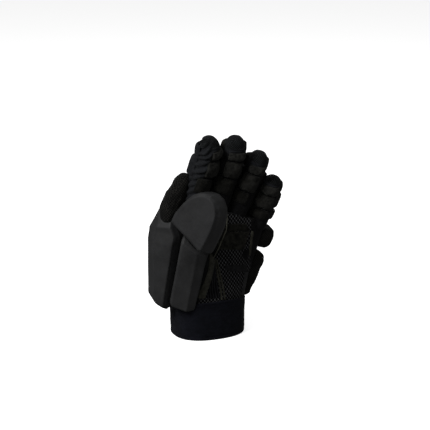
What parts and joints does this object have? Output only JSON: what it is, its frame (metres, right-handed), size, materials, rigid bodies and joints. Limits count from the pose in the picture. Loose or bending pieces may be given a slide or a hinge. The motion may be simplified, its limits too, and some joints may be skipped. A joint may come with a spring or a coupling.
{
  "type": "field hockey glove",
  "caption": "Padded full-finger field hockey glove for the left hand, hollow and open at the wrist, with a moulded thumb guard and wrist plates.",
  "frame": {"origin": "middle of the bounding box, at the rim of the cuff that the glove stands on", "axes": "+Z from the cuff up to the fingertips, -Y the way the palm faces, -X the thumb side"},
  "size_m": [0.149, 0.1152, 0.2331],
  "materials": {
    "neoprene": "matte",
    "stretch_fabric": "matte",
    "suede": "matte",
    "moulded_foam": "matte"
  },
  "bodies": {
    "root": {"back_pad_index": "moulded_foam", "back_pad_little": "moulded_foam", "back_pad_middle": "moulded_foam", "back_pad_ring": "moulded_foam", "cuff": "neoprene", "hand": "stretch_fabric", "index_back_pad_end": "suede", "index_back_pad_mid": "suede", "index_back_pad_near": "suede", "index_finger": "stretch_fabric", "index_grip_pad_end": "suede", "index_grip_pad_mid": "suede", "index_grip_pad_near": "suede", "index_side_pad": "suede", "knuckle_pad_index": "suede", "knuckle_pad_little": "suede", "knuckle_pad_middle": "suede", "knuckle_pad_ring": "suede", "little_back_pad_end": "suede", "little_back_pad_mid": "suede", "little_back_pad_near": "suede", "little_finger": "stretch_fabric", "little_grip_pad_end": "suede", "little_grip_pad_mid": "suede", "little_grip_pad_near": "suede", "middle_back_pad_end": "suede", "middle_back_pad_mid": "suede", "middle_back_pad_near": "suede", "middle_finger": "stretch_fabric", "middle_grip_pad_end": "suede", "middle_grip_pad_mid": "suede", "middle_grip_pad_near": "suede", "outer_pad_hand": "suede", "outer_pad_knuckle": "suede", "palm_patch": "suede", "ring_back_pad_end": "suede", "ring_back_pad_mid": "suede", "ring_back_pad_near": "suede", "ring_finger": "stretch_fabric", "ring_grip_pad_end": "suede", "ring_grip_pad_mid": "suede", "ring_grip_pad_near": "suede", "thumb": "stretch_fabric", "thumb_guard": "moulded_foam", "wrist_plate_back": "moulded_foam", "wrist_plate_palm": "moulded_foam"}
  },
  "joints": []
}
